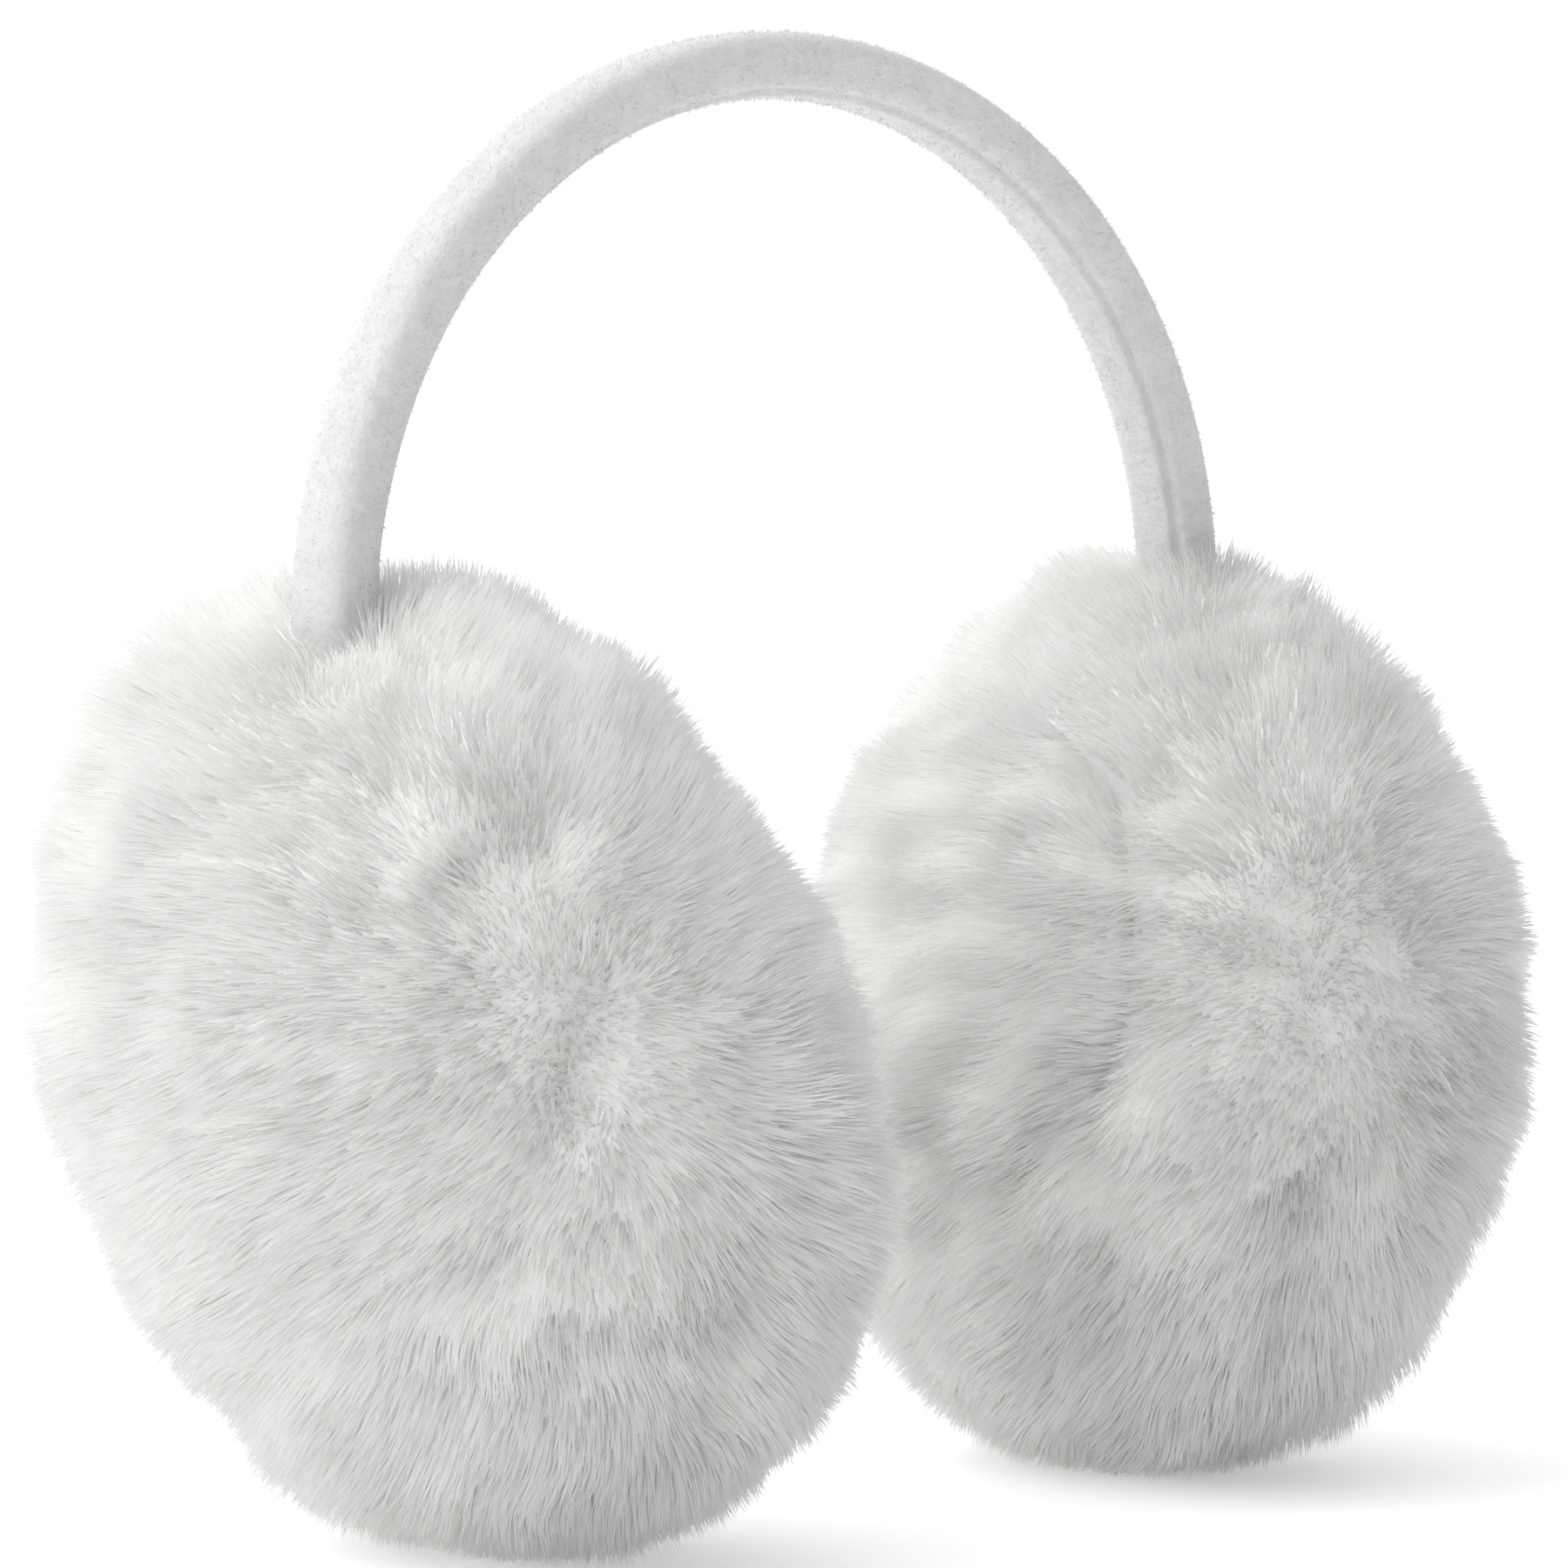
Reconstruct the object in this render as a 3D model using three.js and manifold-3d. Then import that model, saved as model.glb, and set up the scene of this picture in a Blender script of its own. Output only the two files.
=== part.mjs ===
// Fur earmuffs: two deep fur cups on a slim plush headband, standing on their cups.
// Millimetres, +Z up, +X from the left cup to the right cup, -Y the front. The floor is z = 0.
import * as THREE from "three";
import { mergeVertices } from "three/addons/utils/BufferGeometryUtils.js";
import Module from "manifold-3d";

const wasm = await Module();
wasm.setup();

// Headband
const bandRadius = 72;
const bandRise = 68;
const bandWidth = 10;
const bandThickness = 7.6;
const bandCorner = 3;
const seamWidth = 1.8;
const seamDepth = 0.9;
const bandTail = 26;
const bandAboveCup = 52;
const bandSteps = 40;

// Fur cups, over the tips of the pile
const cupThickness = 84;
const cupDepth = 112;
const cupHeight = 128;
const cupInset = 11;
const cupForward = 6;
const cupTilt = 14.5;
const cupLean = 28;
const lowerFullness = 0.07;
const pressedPile = 4;
const cupSides = 20;
const cupRings = 13;

// Angles in radians from straight down: the pile is pressed inside the first, free beyond the second.
const footEdge = 0.35;
const footClear = 0.75;

// Locks of the pile, fused to the backing
const pileRise = 4;
const lockWidth = 24;
const lockThickness = 9;
const lockRoot = 7;
const lockLean = 63;
const lockSpacing = 19;
const lockSides = 4;
const lockBelly = 0.42;
const fewestLocks = 6;
const tipDrop = 0.9;
const tipSpread = 0.8;
const headwardLie = 0.5;

// How much one lock differs from the next: the smallest share of each size, and the range above it.
const riseLeast = 0.8;
const riseRange = 0.3;
const widthLeast = 0.8;
const widthRange = 0.4;
const thicknessLeast = 0.85;
const thicknessRange = 0.3;
const leanRange = 10;

// Ear side
const earPanelDepth = 60;
const earPanelHeight = 66;
const earPanelThickness = 23;
const earPanelProud = 1;
const earPileRise = 1.8;
const earPileEdge = -0.6;
const earSides = 24;
const earRings = 10;

// Where the band goes in
const entryDimple = 13;
const entryDepth = 12;
const entrySides = 16;
const entryRings = 8;
const clearance = 0.3;

// Corners closer than this are one corner.
const weldDistance = 1e-4;

const clothMaterial = (name, colour, roughness) =>
  new THREE.MeshStandardMaterial({ name, color: colour, roughness, metalness: 0 });

// A closed mesh as a solid, and back. Only the positions are kept.
function solid(geometry) {
  const bare = geometry.clone();
  bare.deleteAttribute("normal");
  bare.deleteAttribute("uv");
  const merged = mergeVertices(bare, weldDistance);
  return new wasm.Manifold(new wasm.Mesh({
    numProp: 3,
    vertProperties: new Float32Array(merged.attributes.position.array),
    triVerts: new Uint32Array(merged.index.array),
  }));
}

// The main body of a cut piece: ends of locks that a cut has parted from it fall away.
function geometryOf(manifold) {
  const bodies = manifold.decompose().sort((a, b) => b.volume() - a.volume());
  const mesh = bodies[0].getMesh();
  const geometry = new THREE.BufferGeometry();
  geometry.setAttribute("position", new THREE.BufferAttribute(new Float32Array(mesh.vertProperties), 3));
  geometry.setIndex(new THREE.BufferAttribute(new Uint32Array(mesh.triVerts), 1));
  geometry.computeVertexNormals();
  return geometry;
}

// The same piece for the other ear: mirrored in x, with its faces turned out again.
function mirrored(geometry) {
  const twin = geometry.clone();
  const points = twin.attributes.position;
  for (let i = 0; i < points.count; i += 1) points.setX(i, -points.getX(i));
  const index = twin.index.array;
  for (let i = 0; i < index.length; i += 3) [index[i + 1], index[i + 2]] = [index[i + 2], index[i + 1]];
  twin.computeVertexNormals();
  return twin;
}

// An even, repeatable spread of numbers from 0 to 1.
const spread = (i, salt) => {
  const value = Math.sin(i * 12.9898 + salt * 78.233) * 43758.5453;
  return value - Math.floor(value);
};

// Headband path: a straight tail up out of one cup, half an ellipse, a straight tail down.
class BandPath extends THREE.Curve {
  constructor(tail) {
    super();
    this.tail = tail;
    this.arch = (Math.PI * (bandRadius + bandRise)) / 2;
  }

  getPoint(t, target = new THREE.Vector3()) {
    const run = t * (this.arch + 2 * this.tail);
    if (run < this.tail) return target.set(-bandRadius, 0, run - this.tail);
    if (run > this.tail + this.arch) return target.set(bandRadius, 0, this.tail + this.arch - run);
    const turn = (Math.PI * (run - this.tail)) / this.arch;
    return target.set(-bandRadius * Math.cos(turn), 0, bandRise * Math.sin(turn));
  }
}

// Band section: x is the front, y the head side. The sleeve is sewn at the front inner corner.
function bandSection(grow, withSeam) {
  const w = bandWidth / 2 + grow;
  const t = bandThickness / 2 + grow;
  const r = Math.min(bandCorner + grow, t, w);
  const corners = [
    { x: w - r, y: -t + r, from: -90 },
    { x: w - r, y: t - r, from: 0 },
    { x: -w + r, y: t - r, from: 90 },
    { x: -w + r, y: -t + r, from: 180 },
  ];
  const points = [];
  for (const corner of corners) {
    for (const step of [0, 45, 90]) {
      const angle = THREE.MathUtils.degToRad(corner.from + step);
      points.push(new THREE.Vector2(corner.x + r * Math.cos(angle), corner.y + r * Math.sin(angle)));
    }
  }
  if (withSeam) {
    const along = new THREE.Vector2(-Math.SQRT1_2, Math.SQRT1_2);
    const inward = new THREE.Vector2(-Math.SQRT1_2, -Math.SQRT1_2);
    const middle = new THREE.Vector2(w - r, t - r).addScaledVector(inward, -r * Math.cos(Math.PI / 8));
    const edge = (side) => middle.clone().addScaledVector(along, (side * seamWidth) / 2);
    points.splice(4, 1, edge(-1), middle.clone().addScaledVector(inward, seamDepth), edge(1));
  }
  return new THREE.Shape(points);
}

function bandGeometry(tail, grow, withSeam) {
  const path = new BandPath(tail);
  return new THREE.ExtrudeGeometry(bandSection(grow, withSeam), { steps: bandSteps, extrudePath: path });
}

// Outer form of a cup in its own frame: +X away from the head, its long axis along Z.
function formPoint(direction, inset) {
  const full = 1 - lowerFullness * direction.z;
  return new THREE.Vector3(
    direction.x * (cupThickness / 2 - inset) * full,
    direction.y * (cupDepth / 2 - inset) * full,
    direction.z * (cupHeight / 2 - inset),
  );
}

function formNormal(direction) {
  return new THREE.Vector3(
    direction.x / cupThickness,
    direction.y / cupDepth,
    direction.z / cupHeight,
  ).normalize();
}

const cupTurn = new THREE.Euler(-THREE.MathUtils.degToRad(cupLean), THREE.MathUtils.degToRad(cupTilt), 0);
const toStanding = new THREE.Quaternion().setFromEuler(cupTurn);
const downInCup = new THREE.Vector3(0, 0, -1).applyQuaternion(toStanding.clone().invert());

// The cup stands so that its lowest pile is pressed flat on the floor.
const reachSides = 48;
const reachRings = 32;

function lowestReach() {
  const sphere = new THREE.SphereGeometry(1, reachSides, reachRings);
  const direction = new THREE.Vector3();
  let lowest = 0;
  for (let i = 0; i < sphere.attributes.position.count; i += 1) {
    direction.fromBufferAttribute(sphere.attributes.position, i).normalize();
    lowest = Math.min(lowest, formPoint(direction, 0).applyQuaternion(toStanding).z);
  }
  return -lowest;
}

const cupCentre = new THREE.Vector3(bandRadius - cupInset, -cupForward, lowestReach() - pressedPile);
const bandBase = cupCentre.z + bandAboveCup;
const cupPlace = new THREE.Matrix4().compose(cupCentre, toStanding, new THREE.Vector3(1, 1, 1));
const intoCup = cupPlace.clone().invert();

// How far a direction lies from the foot: 0 where the pile is pressed down, 1 away from it.
const awayFromFoot = (direction) =>
  THREE.MathUtils.smoothstep(formNormal(direction).angleTo(downInCup), footEdge, footClear);

// Backing: a round padded body that the pile stands on.
function backing() {
  const geometry = new THREE.SphereGeometry(1, cupSides, cupRings);
  geometry.rotateX(Math.PI / 2);
  const points = geometry.attributes.position;
  const direction = new THREE.Vector3();
  for (let i = 0; i < points.count; i += 1) {
    direction.fromBufferAttribute(points, i).normalize();
    const point = formPoint(direction, pileRise * awayFromFoot(direction));
    points.setXYZ(i, point.x, point.y, point.z);
  }
  return solid(geometry);
}

// One lock: a flat four-sided flame, rooted in the backing and leaning along the lie of the fur.
function lockSolid(root, normal, lie, size) {
  const axis = normal.clone().applyAxisAngle(
    new THREE.Vector3().crossVectors(normal, lie).normalize(),
    THREE.MathUtils.degToRad(size.lean),
  );
  const side = new THREE.Vector3().crossVectors(axis, normal).normalize();
  const flat = new THREE.Vector3().crossVectors(side, axis);
  const length = size.rise / Math.cos(THREE.MathUtils.degToRad(size.lean)) + lockRoot;
  const outline = [
    { across: 0, along: 0 },
    { across: 1, along: lockBelly },
    { across: 0, along: 1 },
  ];
  const profile = outline.map((row) => new THREE.Vector2(row.across, row.along));
  const geometry = new THREE.LatheGeometry(profile, lockSides);
  const basis = new THREE.Matrix4().makeBasis(
    side.multiplyScalar(size.width / 2),
    axis.clone().multiplyScalar(length),
    flat.multiplyScalar(size.thickness / 2),
  );
  basis.setPosition(root.clone().addScaledVector(axis, -lockRoot));
  geometry.applyMatrix4(basis);
  return solid(geometry);
}

// Lie of the fur: away from the middle of the face it stands on, and hanging a little.
function lieOf(direction, normal) {
  const lie = new THREE.Vector3(-headwardLie * direction.x, direction.y, direction.z);
  lie.multiplyScalar(tipSpread);
  lie.addScaledVector(downInCup, tipDrop);
  return lie.addScaledVector(normal, -lie.dot(normal)).normalize();
}

// Turns a boxed size into the number of locks that its surface takes.
const lockCount = (a, b, c) => {
  const area = (Math.PI / 3) * (a * b + b * c + c * a);
  return Math.max(fewestLocks, Math.round(area / lockSpacing ** 2));
};

// Evenly spaced directions round a ball.
function* directions(count) {
  const turn = Math.PI * (3 - Math.sqrt(5));
  for (let i = 0; i < count; i += 1) {
    const x = 1 - (2 * (i + 0.5)) / count;
    const radius = Math.sqrt(1 - x * x);
    yield { i, direction: new THREE.Vector3(x, radius * Math.cos(i * turn), radius * Math.sin(i * turn)) };
  }
}

const lockSize = (i, rise) => ({
  rise: rise * (riseLeast + riseRange * spread(i, 1)),
  lean: lockLean + leanRange * (spread(i, 2) - 0.5),
  width: lockWidth * (widthLeast + widthRange * spread(i, 3)),
  thickness: lockThickness * (thicknessLeast + thicknessRange * spread(i, 4)),
});

// Ear panel: a flat fur pad let into the head side of the cup.
const earCentre = -(cupThickness / 2 + earPanelProud - earPanelThickness / 2);

function earPad(grow) {
  const pad = new THREE.SphereGeometry(1, earSides, earRings);
  pad.rotateZ(Math.PI / 2);
  pad.scale(earPanelThickness / 2 + grow, earPanelDepth / 2 + grow, earPanelHeight / 2 + grow);
  pad.translate(earCentre, 0, 0);
  return solid(pad);
}

// The way from the pad's widest line out to the head side.
function earWay(grow) {
  const way = new THREE.CylinderGeometry(1, 1, cupThickness, earSides);
  way.rotateZ(Math.PI / 2);
  way.scale(1, earPanelDepth / 2 + grow, earPanelHeight / 2 + grow);
  way.translate(earCentre - cupThickness / 2, 0, 0);
  return solid(way);
}

function earPanel() {
  let locks = earPad(0);
  const count = lockCount(earPanelThickness, earPanelDepth, earPanelHeight);
  for (const { i, direction } of directions(count)) {
    if (direction.x > earPileEdge) continue;
    const normal = new THREE.Vector3(
      direction.x / earPanelThickness,
      direction.y / earPanelDepth,
      direction.z / earPanelHeight,
    ).normalize();
    const root = new THREE.Vector3(
      earCentre + (direction.x * earPanelThickness) / 2,
      (direction.y * earPanelDepth) / 2,
      (direction.z * earPanelHeight) / 2,
    );
    locks = locks.add(lockSolid(root, normal, lieOf(direction, normal), lockSize(i, earPileRise)));
  }
  return locks.intersect(earWay(0)).add(earPad(0));
}

// The cutters are brought into the cup's frame, where the cover is made.
const inCupFrame = (geometry) => solid(geometry.applyMatrix4(intoCup));

function entryPoint() {
  return new THREE.Vector3(bandRadius, 0, cupCentre.z + cupHeight / 2);
}

// Fur cover: backing and locks, with the ear panel's seat, the band's pocket and the flat foot cut.
function furCover() {
  let cover = backing();
  const count = lockCount(cupThickness, cupDepth, cupHeight);
  const entry = entryPoint().applyMatrix4(intoCup);
  for (const { i, direction } of directions(count)) {
    const clear = awayFromFoot(direction);
    const root = formPoint(direction, pileRise);
    if (clear < 1 || root.distanceTo(entry) < entryDimple) continue;
    const normal = formNormal(direction);
    cover = cover.add(lockSolid(root, normal, lieOf(direction, normal), lockSize(i, pileRise)));
  }
  const seat = earPad(clearance).add(earWay(clearance));
  const reach = new THREE.SphereGeometry(1, entrySides, entryRings);
  reach.scale(entryDimple, entryDimple, entryDepth);
  reach.translate(entryPoint().x, entryPoint().y, entryPoint().z);
  const pocket = bandGeometry(bandTail + clearance, clearance, false);
  pocket.translate(0, 0, bandBase);
  const floor = new THREE.BoxGeometry(cupHeight * 2, cupHeight * 2, cupHeight);
  floor.translate(cupCentre.x, cupCentre.y, -cupHeight / 2);
  return cover
    .subtract(seat)
    .subtract(inCupFrame(reach))
    .subtract(inCupFrame(pocket))
    .subtract(inCupFrame(floor));
}

function mesh(name, geometry, material) {
  const piece = new THREE.Mesh(geometry, material);
  piece.name = name;
  return piece;
}

const plush = clothMaterial("white plush", 0xf1f1f1, 0.95);
const longPile = clothMaterial("white faux fur", 0xf4f4f4, 1);
const earPile = clothMaterial("white faux fur, ear side", 0xf2f2f2, 1);

const headband = mesh("headband", bandGeometry(bandTail, 0, true), plush);
headband.position.z = bandBase;

const coverGeometry = geometryOf(furCover());
const panelGeometry = geometryOf(earPanel());

function cup(side, name) {
  const group = new THREE.Group();
  group.position.set(side * cupCentre.x, cupCentre.y, cupCentre.z);
  group.rotation.set(cupTurn.x, side * cupTurn.y, 0);
  const turned = (geometry) => (side > 0 ? geometry : mirrored(geometry));
  group.add(mesh(`${name}_fur_cover`, turned(coverGeometry), longPile.clone()));
  group.add(mesh(`${name}_ear_panel`, turned(panelGeometry), earPile.clone()));
  return group;
}

const earmuffs = new THREE.Group();
earmuffs.add(headband, cup(-1, "left"), cup(1, "right"));

// The footprint is centred on the origin.
const footprint = new THREE.Box3().setFromObject(earmuffs);
earmuffs.position.y = -(footprint.min.y + footprint.max.y) / 2;

export default earmuffs;
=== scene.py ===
import math

import bpy
import numpy as np
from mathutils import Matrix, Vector, kdtree


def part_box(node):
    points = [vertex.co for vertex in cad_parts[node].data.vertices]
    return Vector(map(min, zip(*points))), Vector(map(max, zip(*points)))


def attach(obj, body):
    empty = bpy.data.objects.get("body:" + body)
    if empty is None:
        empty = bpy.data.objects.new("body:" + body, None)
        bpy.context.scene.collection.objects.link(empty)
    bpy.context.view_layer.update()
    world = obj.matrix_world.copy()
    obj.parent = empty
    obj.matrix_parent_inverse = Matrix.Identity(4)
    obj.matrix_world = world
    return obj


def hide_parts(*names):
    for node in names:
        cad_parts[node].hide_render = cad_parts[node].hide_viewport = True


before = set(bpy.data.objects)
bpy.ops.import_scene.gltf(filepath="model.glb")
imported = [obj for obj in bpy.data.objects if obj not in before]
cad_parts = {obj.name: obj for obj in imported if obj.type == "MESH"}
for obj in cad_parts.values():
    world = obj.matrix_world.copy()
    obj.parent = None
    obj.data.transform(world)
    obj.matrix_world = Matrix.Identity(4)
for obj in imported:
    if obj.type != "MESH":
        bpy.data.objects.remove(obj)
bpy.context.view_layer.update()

# Fur covers
# Each cup is a fat round cushion of soft wadding under a cover of deep acrylic fur fabric. The cover is
# drawn tight round the cup, so the pile stands out along its curve, parts into small locks and hangs a
# little at the tips. The cup stands on the floor on its own pressed pile.

MM = 0.001

# Outer sizes over the pile, and the lean of each cup. The long axis leans back and the top leans in.
CUP_SIZE = np.array([84, 112, 128]) * MM
LOWER_FULLNESS = 0.07
CUP_TILT = math.radians(14.5)
CUP_LEAN = math.radians(28)
CUP_INSET = 11 * MM
CUP_FORWARD = 6 * MM
SIDE_NAME = {-1: "left", 1: "right"}

# The headband's legs, which each cup is placed by.
BAND_RADIUS = 72 * MM
BAND_TAIL = 26 * MM
BAND_ABOVE_CUP = 52 * MM

# The skin of the cushion lies this deep in the pile, and clear of the floor by the pressed pile.
SKIN_DEPTH = 6 * MM
FLOOR_PILE = 0.3 * MM

band_low, band_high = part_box("headband")
band_y = (band_low.y + band_high.y) / 2
band_base = band_low.z + BAND_TAIL
cup_centre = np.array([BAND_RADIUS - CUP_INSET, band_y - CUP_FORWARD, band_base - BAND_ABOVE_CUP])


def turn_x(angle):
    c, s = math.cos(angle), math.sin(angle)
    return np.array([[1, 0, 0], [0, c, -s], [0, s, c]])


def turn_y(angle):
    c, s = math.cos(angle), math.sin(angle)
    return np.array([[c, 0, s], [0, 1, 0], [-s, 0, c]])


cup_turn = turn_x(-CUP_LEAN) @ turn_y(CUP_TILT)


def unit(vectors):
    return vectors / np.maximum(np.linalg.norm(vectors, axis=-1, keepdims=True), 1e-9)


def to_world(points, side):
    """Points of the cup's own frame, +X away from the head, to the object's frame."""
    placed = points @ cup_turn.T + cup_centre
    return placed * np.array([side, 1, 1])


def to_cup(vectors, side):
    """World directions to the cup's own frame."""
    return (vectors * np.array([side, 1, 1])) @ cup_turn


def waves(points, wavelength, seed):
    """Smooth noise from -1 to 1, made of a few plane waves with seeded directions."""
    random = np.random.default_rng(seed)
    wave_count, usual_peak = 9, 3.2
    total = np.zeros(len(points))
    for _ in range(wave_count):
        along = unit(random.normal(size=3)) * (2 * math.pi / wavelength) * random.uniform(0.6, 1.5)
        total += np.sin(points @ along + random.uniform(0, 2 * math.pi))
    return total / usual_peak


def form(direction, inset, relief=None):
    """The cup's outer form in its own frame, set in by a depth."""
    full = 1 - LOWER_FULLNESS * direction[:, 2:3]
    size = CUP_SIZE / 2 - inset
    points = direction * size * np.hstack([full, full, np.ones_like(full)])
    if relief is not None:
        points = points + form_normal(direction) * relief[:, None]
    return points


def form_normal(direction):
    return unit(direction / CUP_SIZE)


# Places on a cup are directions in its own frame, +X away from the head. The whorl is where the pile parts.
# Each fold is a start, an end, and a width and a height in millimetres.
WHORL = {-1: np.array([0.55, -0.78, -0.29]), 1: np.array([-0.12, -0.95, -0.27])}
FOLDS = {
    -1: [
        ((0.68, -0.68, 0.28), (0.50, -0.80, 0.34), 2, 2.4),
        ((0.62, -0.64, 0.40), (0.48, -0.72, 0.50), 5, -1.4),
        ((0.66, -0.72, -0.28), (0.76, -0.45, -0.48), 6, -1.8),
        ((0.30, -0.46, -0.83), (0.22, -0.36, -0.90), 4, -1.8),
    ],
    1: [
        ((-0.22, -0.75, 0.62), (-0.60, -0.58, 0.55), 4, -2.2),
        ((-0.84, 0.10, -0.50), (-0.84, -0.04, -0.56), 4, -3.2),
        ((-0.90, -0.22, -0.36), (-0.84, -0.10, -0.44), 4, 2.8),
        ((-0.80, -0.46, 0.10), (-0.66, -0.42, -0.60), 6, 2.4),
        ((-0.28, -0.62, -0.72), (-0.10, -0.30, -0.95), 4, -2.6),
        ((-0.72, -0.20, -0.66), (-0.50, -0.35, -0.78), 6, 2.4),
    ],
}


# Where the stuffing is flatter or fuller than the plain form: a direction, a reach in radians and a height
# in millimetres. Tufts are where locks stay longer and stand apart, near the headband's legs.
FLATS = {
    -1: [
        ((0.80, 0.55, -0.30), 0.75, -3.2),
        ((0.30, -0.20, -0.93), 0.35, -2.0),
        ((0.65, 0.15, 0.70), 0.4, -3.0),
        ((-0.35, -0.55, 0.75), 0.3, 1.2),
        ((-0.32, -0.80, 0.50), 0.35, 1.8),
    ],
    1: [
        ((-0.70, 0.02, 0.70), 0.5, -2.8),
        ((0.30, -0.85, 0.40), 0.4, -1.4),
    ],
}
TUFTS = {
    -1: [((0.25, 0.00, 0.96), 0.30), ((-0.15, -0.30, 0.94), 0.16)],
    1: [((0.00, -0.74, 0.66), 0.22)],
}


def near_to(direction, place, reach):
    """1 at a place on the cup, falling to 0 round it."""
    angle = np.arccos(np.clip(direction @ unit(np.array(place)), -1, 1))
    return np.exp(-(angle / reach) ** 2)


def fold(direction, start, end, width, height):
    """A soft ridge or crease along a short line over the coat."""
    start, end = unit(np.array(start)), unit(np.array(end))
    run = end - start
    along = np.clip((direction - start) @ run / (run @ run), 0, 1)
    off = np.linalg.norm(direction - start - along[:, None] * run, axis=1) * CUP_SIZE.mean() / 2
    return height * MM * np.exp(-(off / (width * MM)) ** 2)


def round_whorl(direction, side):
    """Angle from the whorl, and the angle round it."""
    pole = unit(WHORL[side])
    first = unit(np.cross(pole, [0.0, 0, 1]))
    second = np.cross(pole, first)
    return np.arccos(np.clip(direction @ pole, -1, 1)), np.arctan2(direction @ second, direction @ first)


def streaks(direction, side):
    """Long shallow furrows that run away from the whorl, from -1 to 1."""
    random = np.random.default_rng(71 + side)
    reach, turn = round_whorl(direction, side)
    total = np.zeros(len(direction))
    for count in (5, 8, 11, 15, 19, 24, 29, 35):
        bend = random.uniform(0.6, 2.2) * np.sin(random.uniform(2, 6) * reach + random.uniform(0, 6.3))
        total += np.sin(count * turn + bend + random.uniform(0, 6.3))
    return total / 3 * np.clip(reach / 0.5, 0, 1)


# Relief of the coat: heights and lengths of its swells, ripples and furrows, and the dent that each leg of
# the headband presses into it.
SWELL, SWELL_LENGTH = 0.9 * MM, 36 * MM
RIPPLE, RIPPLE_LENGTH = {-1: 0.6 * MM, 1: 0.8 * MM}, 14 * MM
FURROW = 0.3 * MM
LEG_DENT = {-1: 6 * MM, 1: 0.5 * MM}
LEG_REACH = 20 * MM
LEG_PRESS = {-1: np.array([8, -10]) * MM, 1: np.array([-8, -12]) * MM}
LEG_EDGE = 1.3


def beside_leg(points):
    """Direction away from the headband's leg, level, and how far the leg presses the coat, from 1 to 0."""
    side = 1 if points[:, 0].mean() > 0 else -1
    press = LEG_PRESS[side]
    offset = points.copy()
    offset[:, 0] = points[:, 0] - side * BAND_RADIUS
    offset[:, 1] = points[:, 1] - band_y
    offset[:, 2] = 0
    reach = np.hypot(offset[:, 0] * side - press[0], offset[:, 1] - press[1])
    near = np.clip(LEG_EDGE * (1 - reach / LEG_REACH), 0, 1) * (points[:, 2] > band_low.z)
    return unit(offset), near


def relief(direction, side):
    """Folds, furrows and dents of the coat, in metres along its normal."""
    points = direction * CUP_SIZE / 2
    seed = 11 if side < 0 else 23
    height = SWELL * waves(points, SWELL_LENGTH, seed)
    height += RIPPLE[side] * waves(points, RIPPLE_LENGTH, seed + 1)
    height += FURROW * streaks(direction, side)
    for line in FOLDS[side]:
        height += fold(direction, *line)
    for place, reach, lift in FLATS[side]:
        height += lift * MM * near_to(direction, place, reach)
    _, near = beside_leg(to_world(form(direction, SKIN_DEPTH), side))
    return height - LEG_DENT[side] * near


def coat_normal(direction, side):
    """Normal of the folded coat, by small steps each way."""
    step = 0.012
    first = unit(np.cross(direction, [0.31, 0.17, 0.93]))
    second = np.cross(direction, first)
    points = []
    for way in (first, -first, second, -second):
        moved = unit(direction + step * way)
        points.append(form(moved, 0, relief(moved, side)))
    return unit(np.cross(points[0] - points[1], points[2] - points[3]))


# Ear panels sit in a round seat in the head side of each cover. The cover's edge is tucked down into it.
EAR_SIZE = np.array([23, 60, 66]) * MM
EAR_PROUD = 1 * MM
EAR_GAP = 0.6 * MM
RIM_TUCK = 2.5 * MM
RIM_ROWS = 5
ear_centre_x = -(CUP_SIZE[0] / 2 + EAR_PROUD - EAR_SIZE[0] / 2)


def cover_skin(side):
    """Closed skin of the cushion: arcs from the outer pole to the ear seat, then down into the seat."""
    columns, arcs, seat_rings = 96, 60, 12
    around = np.linspace(0, 2 * math.pi, columns, endpoint=False)
    seat = EAR_SIZE[1:] / 2 + EAR_GAP
    inner = CUP_SIZE / 2 - SKIN_DEPTH
    rim_y = seat[0] * np.cos(around) / inner[1]
    rim_z = seat[1] * np.sin(around) / inner[2]
    rim_reach = np.sqrt(rim_y**2 + rim_z**2)
    rim_polar = math.pi - np.arcsin(rim_reach)
    rows = []
    for step in range(1, arcs + 1):
        polar = rim_polar * step / arcs
        direction = np.stack([
            np.cos(polar),
            np.sin(polar) * rim_y / rim_reach,
            np.sin(polar) * rim_z / rim_reach,
        ], axis=1)
        row = form(direction, SKIN_DEPTH, relief(direction, side))
        row[:, 0] += RIM_TUCK * max(0, 1 - (arcs - step) / RIM_ROWS) ** 2
        rows.append(row)
    rim = rows[-1]
    depth = EAR_SIZE[0] / 2 + EAR_GAP
    for step in range(1, seat_rings):
        turn = math.pi / 2 * step / seat_rings
        scale = math.cos(turn)
        floor_x = ear_centre_x + depth * math.sin(turn)
        row = rim * scale
        row[:, 0] = floor_x
        rows.append(row)
    poles = [form(np.array([[1.0, 0, 0]]), SKIN_DEPTH), np.array([[ear_centre_x + depth, 0, 0]])]
    return closed_mesh(f"{SIDE_NAME[side]}_cup_cushion", rows, poles, side)


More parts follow.
